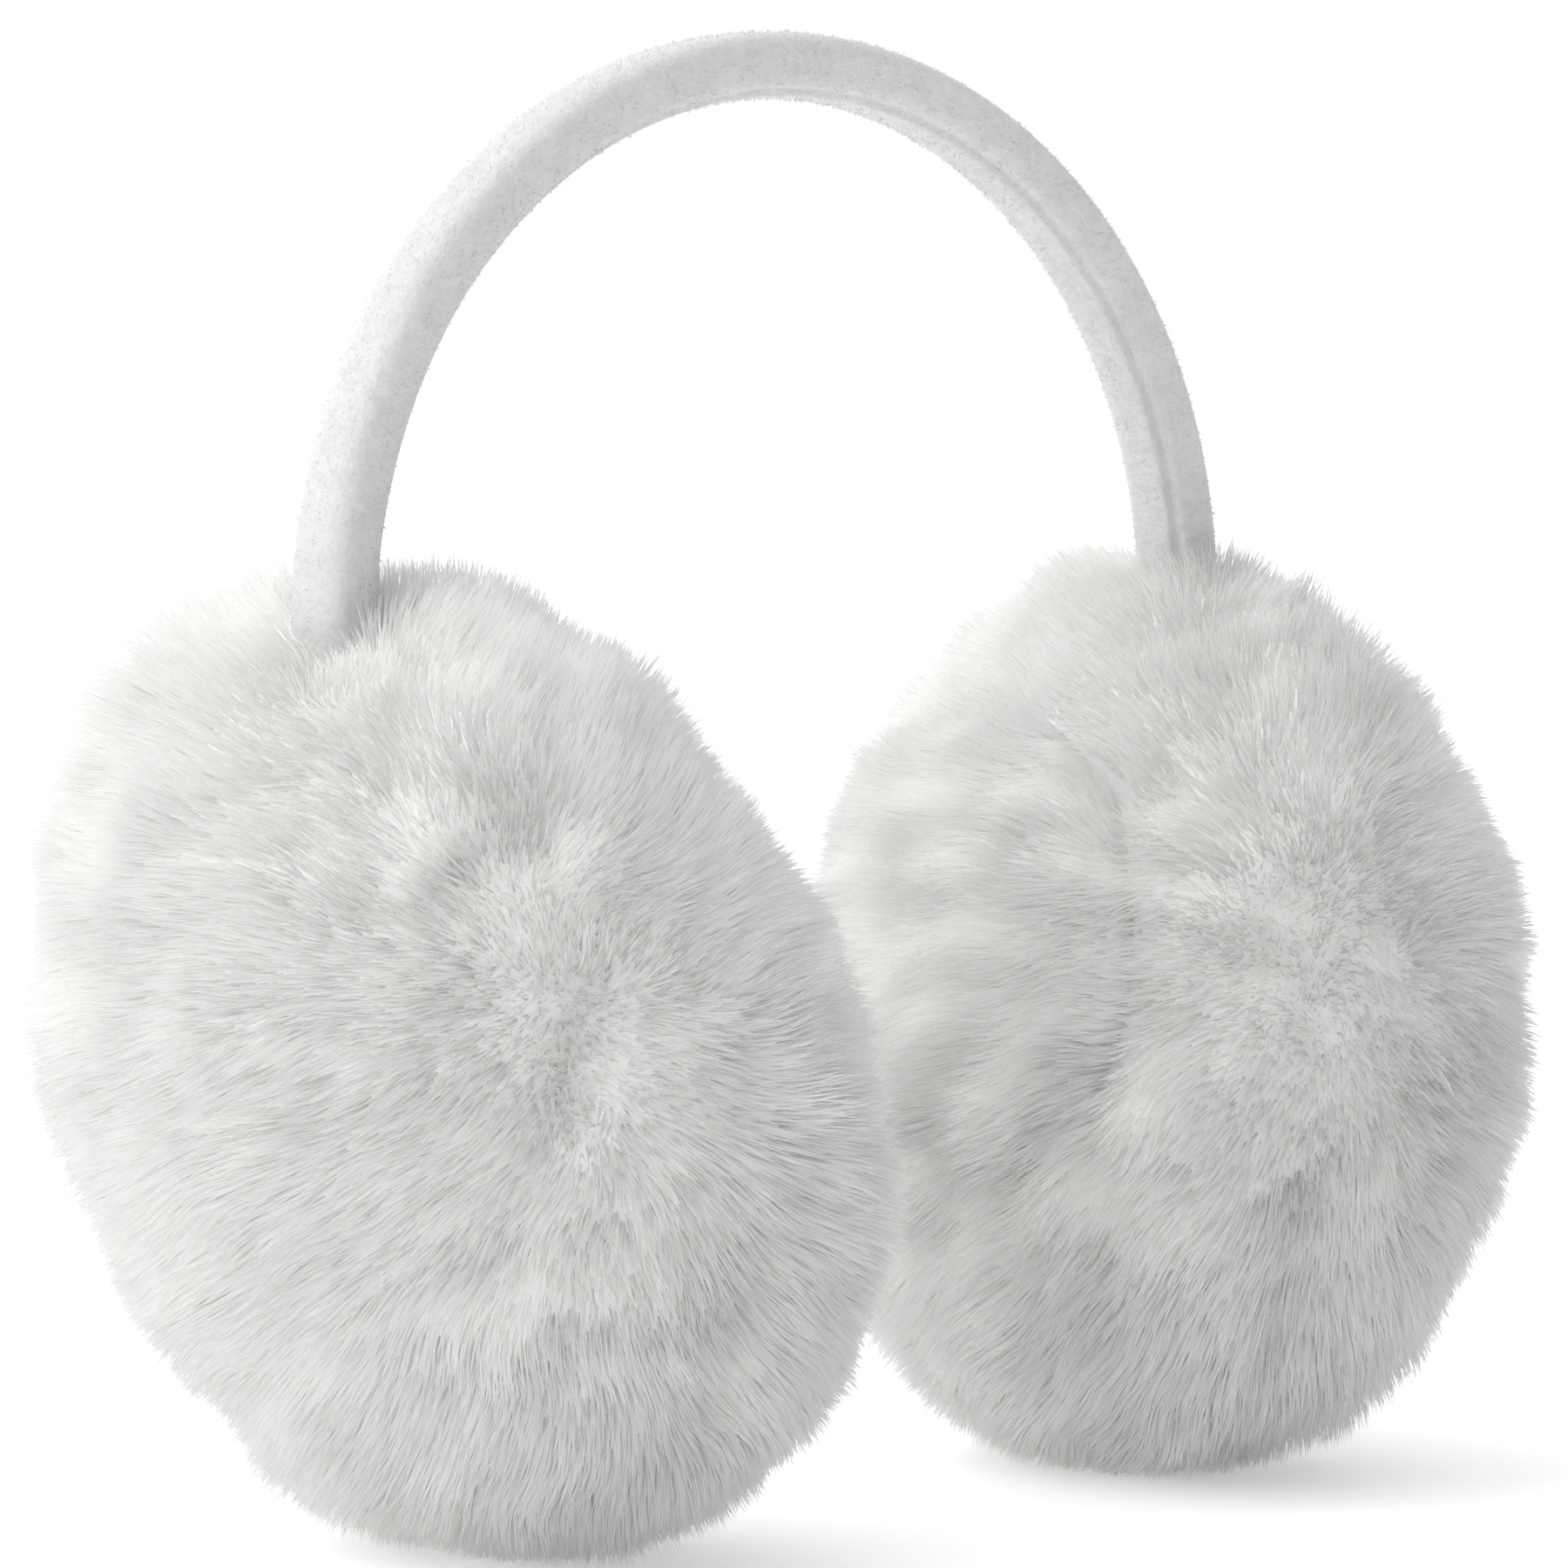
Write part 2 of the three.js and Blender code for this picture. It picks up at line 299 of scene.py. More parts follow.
def closed_mesh(name, rows, poles, side):
    """A mesh from rings of points with one point at each end, placed on its side."""
    count = len(rows[0])
    points = np.concatenate([poles[0], *rows, poles[1]])
    placed = to_world(points, side)
    placed[:, 2] = np.maximum(placed[:, 2], FLOOR_PILE)
    last = len(points) - 1
    faces = []
    for k in range(count):
        n = (k + 1) % count
        faces.append((0, 1 + k, 1 + n))
        faces.append((last, last - count + n, last - count + k))
        for row in range(len(rows) - 1):
            a, b = 1 + row * count, 1 + (row + 1) * count
            faces.append((a + k, b + k, b + n, a + n))
    if side < 0:
        faces = [face[::-1] for face in faces]
    mesh = bpy.data.meshes.new(name)
    mesh.from_pydata(placed.tolist(), [], faces)
    mesh.update()
    mesh.shade_smooth()
    piece = bpy.data.objects.new(name, mesh)
    bpy.context.collection.objects.link(piece)
    return piece


def scatter(count, seed, size):
    """Directions spread evenly over an ellipsoid's area."""
    random = np.random.default_rng(seed)
    direction = unit(random.normal(size=(count * 3, 3)))
    weight = np.linalg.norm(direction / size, axis=1) * size.min()
    return direction[random.uniform(size=len(direction)) < weight][:count]


# Fibres narrow to this share of their width, and each is turned a little its own way. Their shading mixes
# the coat's normal, in this share, with the ribbon's own.
TIP_SHARE = 0.55
RIBBON_TURN = 0.3
COAT_SHARE = 0.6


def strand_mesh(name, paths, widths, outward, tones, seed):
    """Flat tapered fibres, one triangle strip each, joined as one mesh. Their normals follow the coat, so
    the pile takes light as one soft surface."""
    random = np.random.default_rng(seed)
    count, knots = paths.shape[:2]
    run = unit(np.diff(paths, axis=1))
    run = np.concatenate([run, run[:, -1:]], axis=1)
    facing = unit(outward + RIBBON_TURN * random.normal(size=outward.shape))
    across = unit(np.cross(run, facing[:, None, :]))
    taper = np.linspace(1, TIP_SHARE, knots - 1)
    half = across[:, :-1] * (widths[:, None] * taper)[:, :, None] / 2
    left, right = paths[:, :-1] - half, paths[:, :-1] + half
    points = np.concatenate([left, right, paths[:, -1:]], axis=1)
    each = 2 * (knots - 1) + 1
    pattern = []
    for k in range(knots - 2):
        pattern += [(k, k + knots - 1, k + knots), (k, k + knots, k + 1)]
    pattern.append((knots - 2, 2 * knots - 3, 2 * knots - 2))
    pattern = np.array(pattern)
    triangles = (pattern[None] + (np.arange(count) * each)[:, None, None]).reshape(-1, 3)
    points = points.reshape(-1, 3)
    points[:, 2] = np.maximum(points[:, 2], FLOOR_PILE * 0.5)
    mesh = bpy.data.meshes.new(name)
    mesh.vertices.add(len(points))
    mesh.vertices.foreach_set("co", points.ravel())
    mesh.loops.add(triangles.size)
    mesh.loops.foreach_set("vertex_index", triangles.ravel())
    mesh.polygons.add(len(triangles))
    mesh.polygons.foreach_set("loop_start", np.arange(len(triangles)) * 3)
    along = np.linspace(0, 1, knots)
    along = np.concatenate([along[:-1], along[:-1], along[-1:]])
    fibre = np.ones((count, each, 4))
    fibre[:, :, 0] = along
    fibre[:, :, 1] = tones[:, None]
    mesh.attributes.new("fibre", "FLOAT_COLOR", "POINT").data.foreach_set("color", fibre.ravel())
    mesh.update(calc_edges=True)
    mesh.shade_smooth()
    flat = unit(np.cross(across, run))
    soft = unit(COAT_SHARE * outward[:, None, :] + (1 - COAT_SHARE) * flat)
    soft = np.concatenate([soft[:, :-1], soft[:, :-1], soft[:, -1:]], axis=1)
    normals = mesh.attributes.new("custom_normal", "FLOAT_VECTOR", "POINT")
    normals.data.foreach_set("vector", soft.reshape(-1, 3).ravel())
    piece = bpy.data.objects.new(name, mesh)
    # Each drawn fibre stands for a wisp of much finer ones, so light passes between them.
    piece.visible_shadow = False
    bpy.context.collection.objects.link(piece)
    return piece


# How strongly each cause leans the fibres, and how far the whorl's twist and the combed swirls reach.
DOWN = np.array([0, 0, -1.0])
FAN, FAN_SPREAD, FAN_POWER = 0.75, 1.25, 0.8
TWIST, TWIST_REACH = 0.9, 0.08
HANG = 0.25
ASIDE, ASIDE_CALM = 0.5, 0.6
SWIRL, SWIRL_LENGTH = 0.26, 17 * MM


def lie(direction, side):
    """How the fibres lean over the skin: away from the whorl, down, aside from the headband's leg, and
    combed by small swirls."""
    normal = form_normal(direction)
    points = form(direction, SKIN_DEPTH)
    reach, _ = round_whorl(direction, side)
    away = unit(direction - unit(WHORL[side]))
    fan = FAN * np.sin(np.clip(reach * FAN_SPREAD, 0, math.pi)) ** FAN_POWER
    twist = np.exp(-(reach / TWIST_REACH) ** 2)
    flow = fan[:, None] * away + TWIST * twist[:, None] * np.cross(normal, away)
    flow = flow + HANG * to_cup(DOWN[None], side)
    aside, near = beside_leg(to_world(points, side))
    flow = flow * (1 - ASIDE_CALM * near[:, None]) + ASIDE * near[:, None] * to_cup(aside, side)
    seed = 41 if side < 0 else 57
    swirl = np.stack([waves(points, SWIRL_LENGTH, seed + k) for k in range(3)], axis=1)
    flow = flow + SWIRL * swirl
    return flow - normal * np.sum(flow * normal, axis=1, keepdims=True)


# The fur is a little shorter along the rim of the ear seat, over this share of the seat's radius.
RIM_PARTING = 0.12
RIM_WIDTH = 0.12


def at_seat_rim(points):
    """1 along the round parting between the cover and the ear panel, falling to 0 on both sides."""
    seat = np.hypot(points[:, 1] / EAR_SIZE[1], points[:, 2] / EAR_SIZE[2]) * 2
    return np.where(points[:, 0] < 0, np.exp(-((seat - 1) / RIM_WIDTH) ** 2), 0)


def in_ear_seat(points):
    seat = EAR_SIZE / 2 + EAR_GAP
    reach = (points[:, 1] / seat[1]) ** 2 + (points[:, 2] / seat[2]) ** 2
    return (points[:, 0] < 0) & (reach < 1)


# Section of the headband with its sleeve, out by across, and the height of its own short pile.
BAND_SECTION = np.array([8.1, 10]) * MM
BAND_SHIFT = -0.25 * MM
BAND_PILE = 0.55 * MM


def clear_of_band(points):
    """Moves world points sideways out of the headband's leg, with its plush."""
    offset = points[..., :2] - np.array([0, band_y])
    offset[..., 0] = np.abs(points[..., 0]) - BAND_RADIUS
    scale = np.linalg.norm(offset / (BAND_SECTION / 2 + BAND_PILE), axis=-1)
    near = (scale < 1) & (points[..., 2] > band_low.z)
    grow = np.where(near, 1 / np.maximum(scale, 0.05), 1)[..., None]
    moved = points.copy()
    sign = np.sign(points[..., 0])
    moved[..., 0] = sign * (BAND_RADIUS + offset[..., 0] * grow[..., 0])
    moved[..., 1] = band_y + offset[..., 1] * grow[..., 0]
    return moved


def over_band(points):
    """World points under the leg of the band, where nothing grows."""
    offset = np.stack([np.abs(points[:, 0]) - BAND_RADIUS, points[:, 1] - band_y], axis=1)
    inside = np.linalg.norm(offset / (BAND_SECTION / 2 + BAND_PILE), axis=1) < 1
    return inside & (points[:, 2] > band_low.z)


# Locks: one to each square of this spacing over the cup's area. Near the leg and in the whorl fibres are
# shorter by these shares, and in a tuft some locks are longer. Tufts and the whorl are drawn up tight.
CUP_AREA = 36000 * MM * MM
LOCK_SPACING = 3.4 * MM
SHORTER_AT_LEG = 0.25
SHORTER_IN_WHORL = 0.25
WHORL_REACH = 0.1
# Fibres in the whorl are darkened by up to this much: painted shade for the shadow among its tight locks.
WHORL_PAINTED_SHADE = 1.5
TUFT_SHARE = 0.35
TUFT_LENGTH = 0.6
TIGHTEST = 0.85
STRAY = 0.10
BEND_FROM, BEND_BY = 0.4, 1.2


def pile(name, side, count, knots, length, width, clump, seed):
    """One kind of fibre all over a cover, drawn into small locks."""
    random = np.random.default_rng(seed)
    direction = scatter(int(count * 1.3), seed, CUP_SIZE / CUP_SIZE.max())
    roots = form(direction, SKIN_DEPTH, relief(direction, side))
    keep = ~in_ear_seat(roots) & ~over_band(to_world(roots, side))
    direction, roots = direction[keep][:count], roots[keep][:count]
    count = len(roots)
    normal = form_normal(direction)
    lean = lie(direction, side)
    centres = scatter(int(CUP_AREA / LOCK_SPACING**2), seed + 1, CUP_SIZE / CUP_SIZE.max())
    centre_points = form(centres, SKIN_DEPTH, relief(centres, side))
    centre_length = length * random.uniform(0.9, 1.08, len(centres))
    tree = kdtree.KDTree(len(centres))
    for index, point in enumerate(centre_points):
        tree.insert(point, index)
    tree.balance()
    nearest = np.array([tree.find(point)[1] for point in roots])
    lengths = centre_length[nearest] * random.uniform(0.82, 1.04, count)
    _, near = beside_leg(to_world(roots, side))
    lengths = lengths * (1 - SHORTER_AT_LEG * near) * (1 - RIM_PARTING * at_seat_rim(roots))
    whorl = near_to(direction, WHORL[side], WHORL_REACH)
    lengths = lengths * (1 - SHORTER_IN_WHORL * whorl)
    tufty = sum(near_to(direction, *tuft) for tuft in TUFTS[side])
    stands = (random.uniform(size=len(centres)) < TUFT_SHARE)[nearest]
    lengths = lengths * (1 + TUFT_LENGTH * tufty * stands)
    steps = np.linspace(0, 1, knots)
    stray = STRAY * random.normal(size=(count, 3))
    paths = np.zeros((count, knots, 3))
    paths[:, 0] = roots
    gather = clump + (TIGHTEST - clump) * np.clip(tufty + whorl, 0, 1)
    gather = (gather * random.uniform(0.4, 1, count))[:, None]
    lock_tip = centre_points[nearest] - roots
    for k in range(1, knots):
        middle = (steps[k] + steps[k - 1]) / 2
        heading = unit(normal + lean * (BEND_FROM + BEND_BY * middle) + stray)
        paths[:, k] = paths[:, k - 1] + heading * (lengths / (knots - 1))[:, None]
    for k in range(1, knots):
        paths[:, k] += lock_tip * gather * steps[k] ** 1.5
    world = clear_of_band(to_world(paths.reshape(-1, 3), side)).reshape(paths.shape)
    outward = unit(coat_normal(direction, side) @ cup_turn.T * np.array([side, 1, 1]))
    tones = random.normal(0.5, 0.2, count) + 0.15 * random.normal(size=len(centres))[nearest]
    # Painted shade: fibres in the whorl are darkened at random, for the shadow among its tight locks.
    tones = np.clip(tones - WHORL_PAINTED_SHADE * whorl * random.uniform(0, 1, count), -1, 1)
    return strand_mesh(name, world, width * random.uniform(0.7, 1.2, count), outward, tones, seed + 2)


def linear(hex_colour):
    """An sRGB hex value as linear RGBA."""
    channels = [int(hex_colour[k:k + 2], 16) / 255 for k in (1, 3, 5)]
    return [c / 12.92 if c <= 0.04045 else ((c + 0.055) / 1.055) ** 2.4 for c in channels] + [1]


def add(tree, kind, links=(), **settings):
    """Adds one node, with its settings and its incoming links: (socket, from_node, from_socket)."""
    node = tree.nodes.new(kind)
    for key, value in settings.items():
        if key.startswith("in_"):
            node.inputs[key[3:].replace("_", " ")].default_value = value
        else:
            setattr(node, key, value)
    for socket, source, output in links:
        tree.links.new(source.outputs[output], node.inputs[socket])
    return node


def new_material(name):
    material = bpy.data.materials.new(name)
    material.use_nodes = True
    material.node_tree.nodes.clear()
    return material, material.node_tree


def acrylic_pile(name, root, tip, spread):
    """Acrylic fibre, drawn and brushed: fine white threads, half of whose light passes through to the next,
    so the coat looks soft and even. The roots are coloured greyer than the tips as painted shade, for the
    shade deep in the pile that the fibres don't cast."""
    material, tree = new_material(name)
    fibre = add(tree, "ShaderNodeAttribute", attribute_name="fibre")
    parts = add(tree, "ShaderNodeSeparateColor", [("Color", fibre, "Color")])
    # Painted shade: the colour darkens from tip to root, for the shade deep in the pile.
    base = add(tree, "ShaderNodeMix", [("Factor", parts, "Red")], data_type="RGBA")
    base.inputs[6].default_value = linear(root)
    base.inputs[7].default_value = linear(tip)
    vary = add(tree, "ShaderNodeMapRange", [("Value", parts, "Green")])
    vary.inputs["To Min"].default_value = 1 - spread
    vary.inputs["To Max"].default_value = 1 + spread
    toned = add(tree, "ShaderNodeVectorMath", [(0, base, 2), ("Scale", vary, "Result")], operation="SCALE")
    surface = add(tree, "ShaderNodeBsdfPrincipled", [("Base Color", toned, "Vector")],
                  in_Roughness=0.6, in_IOR=1.5)
    passed = add(tree, "ShaderNodeBsdfTranslucent", [("Color", toned, "Vector")])
    both = add(tree, "ShaderNodeMixShader", [(1, surface, "BSDF"), (2, passed, "BSDF")], in_Fac=0.5)
    add(tree, "ShaderNodeOutputMaterial", [("Surface", both, "Shader")])
    return material


def backing_knit(name, colour):
    """Dense under-fur on a knitted backing: a matt, slightly mottled white that fills between fibres."""
    material, tree = new_material(name)
    place = add(tree, "ShaderNodeTexCoord")
    tufts = add(tree, "ShaderNodeTexNoise", [("Vector", place, "Object")],
                in_Scale=1 / (1.2 * MM), in_Detail=4.0)
    shade = add(tree, "ShaderNodeMix", [("Factor", tufts, "Fac")], data_type="RGBA")
    shade.inputs[6].default_value = linear(colour)
    shade.inputs[7].default_value = linear("#f2f2f1")
    bump = add(tree, "ShaderNodeBump", [("Height", tufts, "Fac")], in_Strength=0.6, in_Distance=0.6 * MM)
    surface = add(tree, "ShaderNodeBsdfPrincipled", [("Base Color", shade, 2), ("Normal", bump, "Normal")],
                  in_Roughness=0.9)
    add(tree, "ShaderNodeOutputMaterial", [("Surface", surface, "BSDF")])
    return material


under_fur = backing_knit("acrylic_fur_backing", "#f4f4f3")
# The darker root colours are painted shade deep in the pile.
long_fibre = acrylic_pile("acrylic_fur_long_fibre", "#e2e2e1", "#f5f5f4", 0.035)
short_fibre = acrylic_pile("acrylic_fur_under_fibre", "#e2e2e1", "#f1f1f0", 0.035)

for side, name in SIDE_NAME.items():
    cushion = cover_skin(side)
    cushion.data.materials.append(under_fur)
    short = pile(f"{name}_under_pile", side, count=62000, knots=3, length=6.6 * MM, width=0.30 * MM,
                 clump=0.15, seed=101 + side)
    short.data.materials.append(short_fibre)
    long = pile(f"{name}_long_pile", side, count=38000, knots=4, length=7.6 * MM, width=0.24 * MM,
                clump=0.3, seed=201 + side)
    long.data.materials.append(long_fibre)
    for piece in (cushion, short, long):
        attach(piece, "root")
        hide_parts(f"{name}_fur_cover")

# Ear panels
# A round pad of the same fur, sewn into the head side of each cup. It sits in the cover's seat with its
# edge just under the fur round it, so the pile parts softly along its rim.

EAR_PAD = np.array([17, 60, 66]) * MM
EAR_SUNK = 3 * MM
EAR_FIBRE = 7.5 * MM
EAR_FIBRE_WIDTH = 0.28 * MM
EAR_FIBRE_END = 0.05
EAR_OWN_ROUND = 0.12
EAR_OWN_SHADE = 0.1
EAR_LEAN, EAR_TIP_LEAN = 0.6, 1.2


def ear_form(direction, side):
    """The pad under the panel's pile, sunk so that its fur ends level with the cover's."""
    points = direction * EAR_PAD / 2 + np.array([ear_centre_x + EAR_SUNK, 0, 0])
    on_cup = unit(points / CUP_SIZE)
    return points + form_normal(on_cup) * relief(on_cup, side)[:, None] * (direction[:, :1] < 0)


def ear_skin(side):
    """Closed skin of the pad, in rings from the head side to the side in the seat."""
    columns, arcs = 72, 30
    around = np.linspace(0, 2 * math.pi, columns, endpoint=False)
    rows = []
    for step in range(1, arcs):
        polar = math.pi * step / arcs
        direction = np.stack([
            np.full(columns, -math.cos(polar)),
            math.sin(polar) * np.cos(around),
            -math.sin(polar) * np.sin(around),
        ], axis=1)
        rows.append(ear_form(direction, side))
    poles = [ear_form(np.array([[x, 0.0, 0.0]]), side) for x in (-1, 1)]
    return closed_mesh(f"{SIDE_NAME[side]}_ear_pad", rows, poles, side)


def ear_pile(side, count):
    """The panel's fibres, which lie the same way as the cover's round them."""
    random = np.random.default_rng(301 + side)
    direction = scatter(count * 2, 303 + side, EAR_SIZE / EAR_SIZE.max())
    direction = direction[direction[:, 0] < EAR_FIBRE_END][:count]
    count = len(direction)
    roots = ear_form(direction, side)
    on_cup = unit(roots / CUP_SIZE)
    own = unit(direction / EAR_SIZE)
    normal = unit(form_normal(on_cup) + EAR_OWN_ROUND * own)
    flow = lie(on_cup, side)
    length = EAR_FIBRE * random.uniform(0.8, 1.05, count) * (1 - RIM_PARTING * at_seat_rim(roots))
    half = (length / 2)[:, None]
    middle = roots + unit(normal + EAR_LEAN * flow) * half
    tip = middle + unit(normal + EAR_TIP_LEAN * flow + STRAY * random.normal(size=(count, 3))) * half
    paths = np.stack([roots, middle, tip], axis=1)
    world = to_world(paths.reshape(-1, 3), side).reshape(paths.shape)
    soft = unit(coat_normal(on_cup, side) + EAR_OWN_SHADE * own)
    outward = soft @ cup_turn.T * np.array([side, 1, 1])
    tones = np.clip(random.normal(0.5, 0.2, count), 0, 1)
    widths = EAR_FIBRE_WIDTH * random.uniform(0.7, 1.2, count)
    return strand_mesh(f"{SIDE_NAME[side]}_ear_pile", world, widths, outward, tones, 305 + side)


for side, name in SIDE_NAME.items():
    pad = ear_skin(side)
    pad.data.materials.append(under_fur)
    fur = ear_pile(side, count=20000)
    fur.data.materials.append(short_fibre)
    for piece in (pad, fur):
        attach(piece, "root")
        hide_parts(f"{name}_ear_panel")

# Headband
# A narrow spring strip wrapped in thin foam and sleeved in short brushed plush. The sleeve is one strip of
# cloth, closed by a seam along the front edge of the inner face, so it shows a fine crease there.

BAND_RISE = 68 * MM
BAND_SQUARENESS = 3.2
SEAM_WIDTH = 1.8 * MM
SEAM_DEPTH = 0.9 * MM
SEAM_ANGLE = math.radians(132)
SEAM_RADIUS = 5 * MM
FRONT = np.array([0, -1.0, 0])


def band_path(share):
    """Middle of the band and its outward direction, from the left end to the right."""
    arch = math.pi * (BAND_RADIUS + BAND_RISE) / 2
    run = share * (arch + 2 * BAND_TAIL)
    turn = np.clip((run - BAND_TAIL) / arch, 0, 1) * math.pi
    below = np.maximum(BAND_TAIL - run, 0) + np.maximum(run - BAND_TAIL - arch, 0)
    middle = np.stack([
        -BAND_RADIUS * np.cos(turn),
        np.full_like(turn, band_y),
        band_base + BAND_RISE * np.sin(turn) - below,
    ], axis=1)
    out = unit(np.stack([-np.cos(turn) / BAND_RADIUS, 0 * turn, np.sin(turn) / BAND_RISE], axis=1))
    return middle, out


def band_section(angle):
    """Rounded section by angle from the outward direction: out and front, with the seam's crease."""
    t, w = BAND_SECTION / 2
    power = BAND_SQUARENESS
    c, s = np.cos(angle), np.sin(angle)
    reach = 1 / (np.abs(c / t) ** power + np.abs(s / w) ** power) ** (1 / power)
    off = (angle - SEAM_ANGLE) * SEAM_RADIUS
    reach = reach - SEAM_DEPTH * np.exp(-(off / (SEAM_WIDTH / 3)) ** 2)
    return reach * c + BAND_SHIFT, reach * s


def band_skin():
    """Closed skin of the sleeve: sections along the path, with a point at the middle of each end."""
    steps, columns = 260, 48
    share = np.linspace(0, 1, steps)
    middle, out = band_path(share)
    angle = np.linspace(0, 2 * math.pi, columns, endpoint=False)
    outward, front = band_section(angle)
    rows = []
    for k in range(steps):
        rows.append(middle[k] + out[k] * outward[:, None] + FRONT * front[:, None])
    points = np.concatenate([middle[:1], *rows, middle[-1:]])
    last = len(points) - 1
    faces = []
    for k in range(columns):
        n = (k + 1) % columns
        faces.append((0, 1 + n, 1 + k))
        faces.append((last, last - columns + k, last - columns + n))
        for row in range(steps - 1):
            a, b = 1 + row * columns, 1 + (row + 1) * columns
            faces.append((a + k, a + n, b + n, b + k))
    mesh = bpy.data.meshes.new("headband_sleeve")
    mesh.from_pydata(points.tolist(), [], faces)
    mesh.update()
    mesh.shade_smooth()
    piece = bpy.data.objects.new("headband_sleeve", mesh)
    bpy.context.collection.objects.link(piece)
    return piece


FUZZ_FROM, FUZZ_TO = 0.06, 0.94
FUZZ_WIDTH = 0.12 * MM
FUZZ_LEAN, FUZZ_BEND = 0.5, 0.6


def band_fuzz(count):
    """Short bent fibres of the plush, all over the sleeve between the two cups."""
    random = np.random.default_rng(401)
    share = random.uniform(FUZZ_FROM, FUZZ_TO, count)
    angle = random.uniform(0, 2 * math.pi, count)
    middle, out = band_path(share)
    outward, front = band_section(angle)
    roots = middle + out * outward[:, None] + FRONT * front[:, None]
    normal = unit(out * np.cos(angle)[:, None] + FRONT * np.sin(angle)[:, None])
    length = BAND_PILE * random.uniform(0.7, 1.5, count)
    heading = unit(normal + FUZZ_LEAN * random.normal(size=(count, 3)))
    middle_knot = roots + heading * (length / 2)[:, None]
    bent = unit(heading + FUZZ_BEND * random.normal(size=(count, 3)))
    tip = middle_knot + bent * (length / 2)[:, None]
    paths = np.stack([roots, middle_knot, tip], axis=1)
    tones = random.uniform(0, 1, count)
    return strand_mesh("headband_plush", paths, FUZZ_WIDTH * np.ones(count), normal, tones, 403)


def brushed_plush(name):
    """Polyester plush, knitted and brushed: very short dense pile, quite matt, with soft mottling where
    the pile lies different ways."""
    material, tree = new_material(name)
    place = add(tree, "ShaderNodeTexCoord")
    lay = add(tree, "ShaderNodeTexNoise", [("Vector", place, "Object")],
              in_Scale=1 / (4 * MM), in_Detail=5.0, in_Roughness=0.65)
    shade = add(tree, "ShaderNodeMix", [("Factor", lay, "Fac")], data_type="RGBA")
    shade.inputs[6].default_value = linear("#d0d0cf")
    shade.inputs[7].default_value = linear("#e9e9e8")
    nap = add(tree, "ShaderNodeTexNoise", [("Vector", place, "Object")],
              in_Scale=1 / (2.2 * MM), in_Detail=6.0, in_Roughness=0.7)
    bump = add(tree, "ShaderNodeBump", [("Height", nap, "Fac")], in_Strength=0.8, in_Distance=0.9 * MM)
    surface = add(tree, "ShaderNodeBsdfPrincipled", [("Base Color", shade, 2), ("Normal", bump, "Normal")],
                  in_Roughness=0.85)
    surface.inputs["Sheen Weight"].default_value = 0.15
    add(tree, "ShaderNodeOutputMaterial", [("Surface", surface, "BSDF")])
    return material


plush = brushed_plush("brushed_polyester_plush")
sleeve = band_skin()
fuzz = band_fuzz(18000)
sleeve.data.materials.append(plush)
# The nap's darker root colour is painted shade deep in the short pile.
fuzz.data.materials.append(acrylic_pile("plush_nap_fibre", "#dededd", "#ececeb", 0.03))
for piece in (sleeve, fuzz):
    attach(piece, "root")
    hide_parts("headband")

# Studio
# A plain pale floor and soft light: two wide lamps from the left of the view, and a bright room that is
# darker on the right. The camera stands at the photograph's angle, a little above the floor.

FLOOR_REACH = 6.0
FLOOR_GLOW = 0.25


def matt_floor(name):
    """Smooth painted board: plain, pale and matt, and lit a little from within like a light table."""
    material, tree = new_material(name)
    place = add(tree, "ShaderNodeTexCoord")
    grain = add(tree, "ShaderNodeTexNoise", [("Vector", place, "Object")], in_Scale=12.0)
    shade = add(tree, "ShaderNodeMix", [("Factor", grain, "Fac")], data_type="RGBA")
    shade.inputs[6].default_value = linear("#fafafa")
    shade.inputs[7].default_value = linear("#fcfcfc")
    surface = add(tree, "ShaderNodeBsdfPrincipled", [("Base Color", shade, 2)], in_Roughness=0.9)
    surface.inputs["Emission Color"].default_value = (1, 1, 1, 1)
    surface.inputs["Emission Strength"].default_value = FLOOR_GLOW
    add(tree, "ShaderNodeOutputMaterial", [("Surface", surface, "BSDF")])
    return material


floor_mesh = bpy.data.meshes.new("floor")
corners = [(-FLOOR_REACH, -FLOOR_REACH, 0), (FLOOR_REACH, -FLOOR_REACH, 0),
           (FLOOR_REACH, FLOOR_REACH, 0), (-FLOOR_REACH, FLOOR_REACH, 0)]
floor_mesh.from_pydata(corners, [], [(0, 1, 2, 3)])
floor = bpy.data.objects.new("floor", floor_mesh)
bpy.context.collection.objects.link(floor)
floor.data.materials.append(matt_floor("painted_board"))

VIEW_AZIMUTH = math.radians(-43.5)
VIEW_ELEVATION = math.radians(3.45)
VIEW_DISTANCE = 0.985
VIEW_LENS = 182
look_at = Vector((1.7 * MM, band_y + 0.5 * MM, 88.9 * MM))

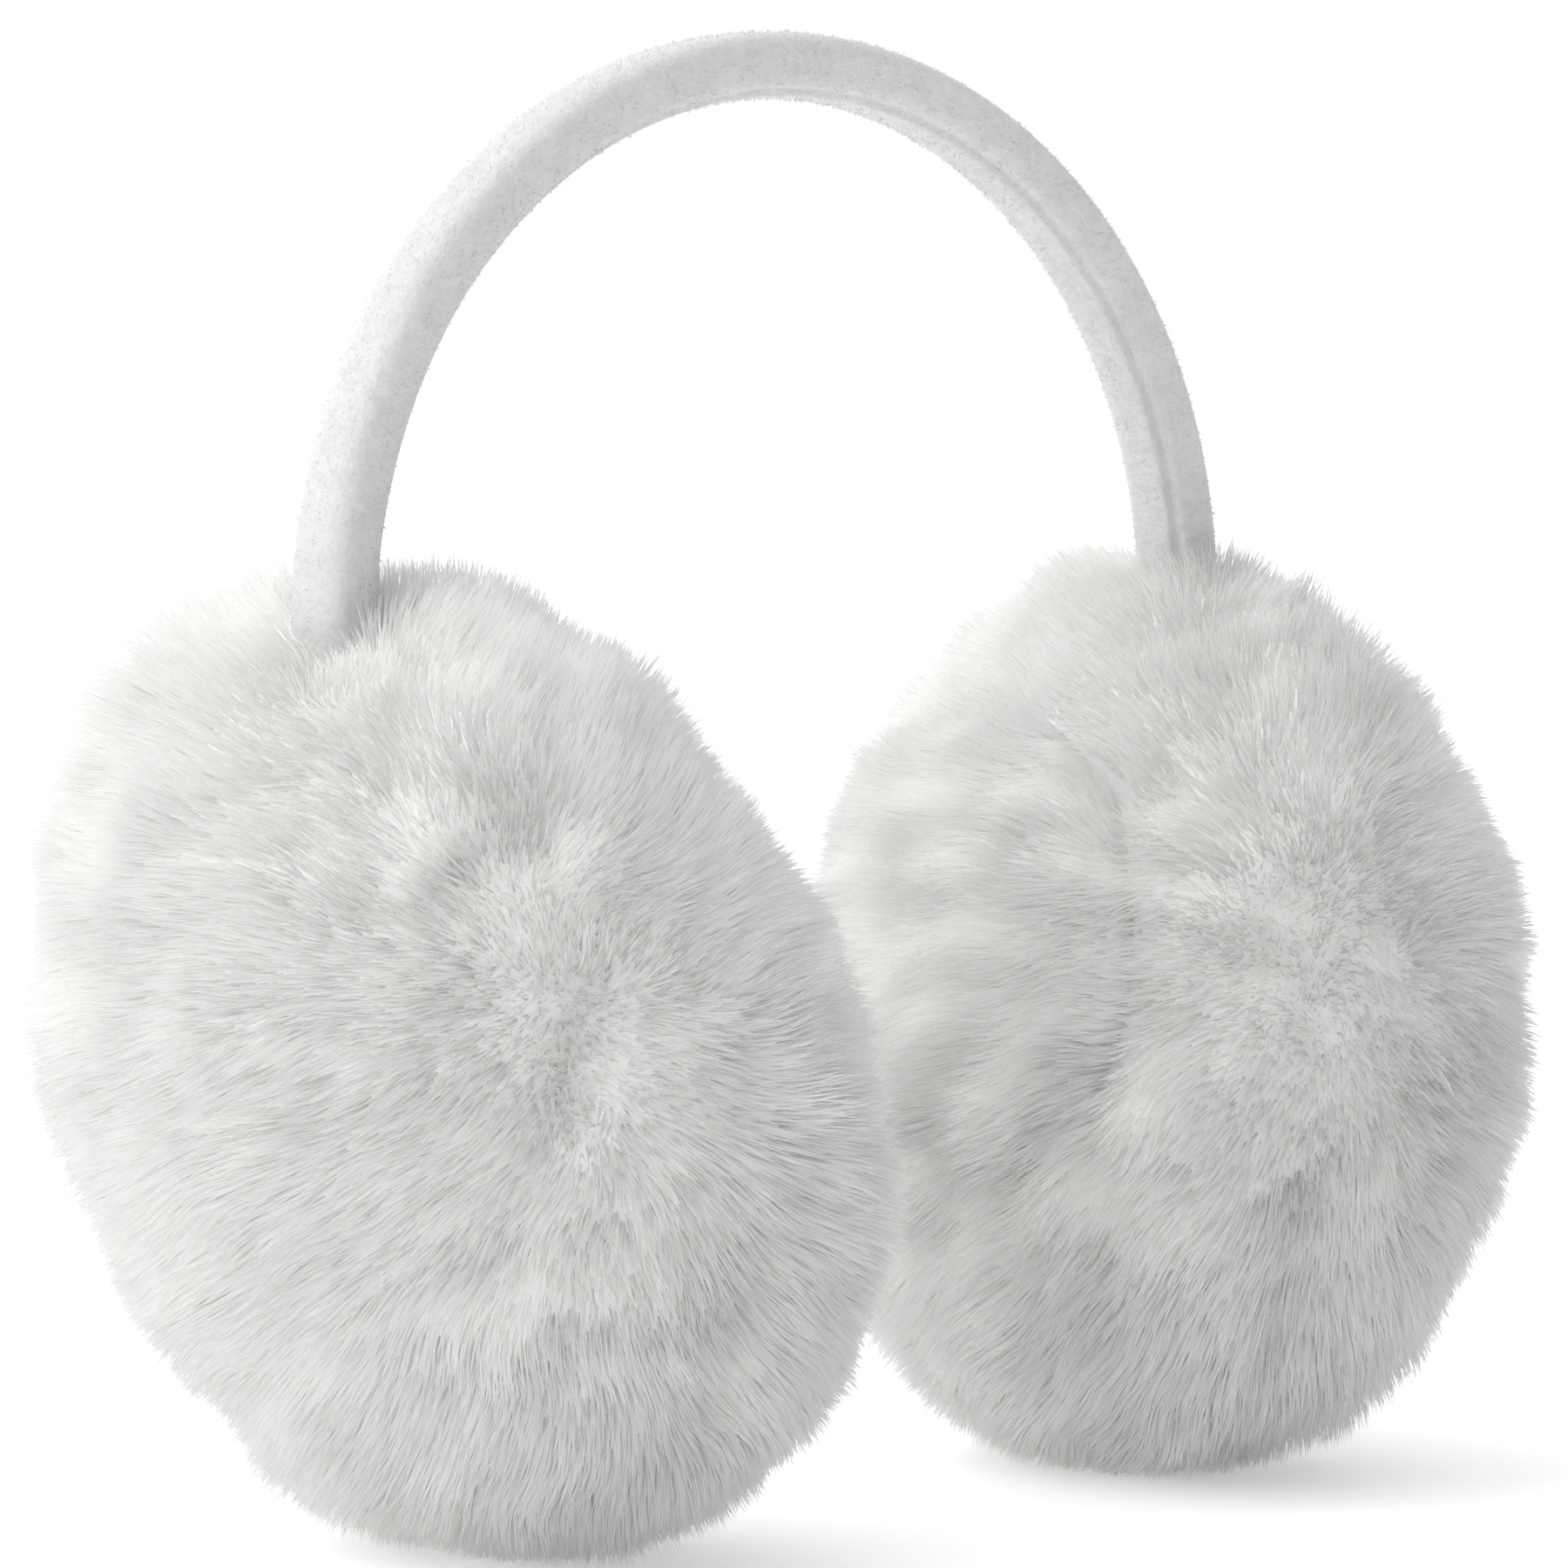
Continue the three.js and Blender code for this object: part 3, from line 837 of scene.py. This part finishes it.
# The room's light falls off along one direction, from the upper left and behind to the lower right.
ROOM_LIGHT = 1.46
world = bpy.data.worlds.new("studio")
world.use_nodes = True
room = world.node_tree.nodes["Background"]
room.inputs["Color"].default_value = (1, 1, 1, 1)
way = add(world.node_tree, "ShaderNodeTexCoord")
across_room = add(world.node_tree, "ShaderNodeVectorMath", [(0, way, "Generated")], operation="DOT_PRODUCT")
left_of_view = Vector((-math.cos(VIEW_AZIMUTH), -math.sin(VIEW_AZIMUTH), 0))
behind = Vector((-math.sin(VIEW_AZIMUTH), math.cos(VIEW_AZIMUTH), 0))
across_room.inputs[1].default_value = 0.64 * left_of_view + 0.5 * behind + Vector((0, 0, 0.55))
fall_off = add(world.node_tree, "ShaderNodeMapRange", [("Value", across_room, "Value")])
fall_off.inputs["From Min"].default_value = -1
fall_off.inputs["To Max"].default_value = ROOM_LIGHT
world.node_tree.links.new(fall_off.outputs["Result"], room.inputs["Strength"])
bpy.context.scene.world = world


def aim(thing, place, target):
    thing.location = place
    thing.rotation_euler = (target - place).to_track_quat("-Z", "Y").to_euler()


def around(azimuth, elevation, distance):
    return look_at + distance * Vector((
        math.sin(azimuth) * math.cos(elevation),
        -math.cos(azimuth) * math.cos(elevation),
        math.sin(elevation),
    ))


# Two large round softboxes: the key, and one above and a little behind. Each has its swing to the left of
# the view and its rise, in degrees, and its power.
LAMP_DISTANCE = 1.4
LAMP_SIZE = 1.2
for name, swing, rise, watts in [("key", 65, 48, 4.5), ("top", 105, 66, 3.6)]:
    lamp = bpy.data.objects.new(name, bpy.data.lights.new(name, "AREA"))
    lamp.data.shape = "DISK"
    lamp.data.size = LAMP_SIZE
    lamp.data.energy = watts
    bpy.context.collection.objects.link(lamp)
    aim(lamp, around(VIEW_AZIMUTH - math.radians(swing), math.radians(rise), LAMP_DISTANCE), look_at)

camera = bpy.data.objects.new("camera", bpy.data.cameras.new("camera"))
camera.data.sensor_width = 36
camera.data.lens = VIEW_LENS
bpy.context.collection.objects.link(camera)
aim(camera, around(VIEW_AZIMUTH, VIEW_ELEVATION, VIEW_DISTANCE), look_at)
bpy.context.scene.camera = camera
bpy.context.scene.view_settings.view_transform = "Standard"
bpy.context.scene.cycles.diffuse_bounces = 6
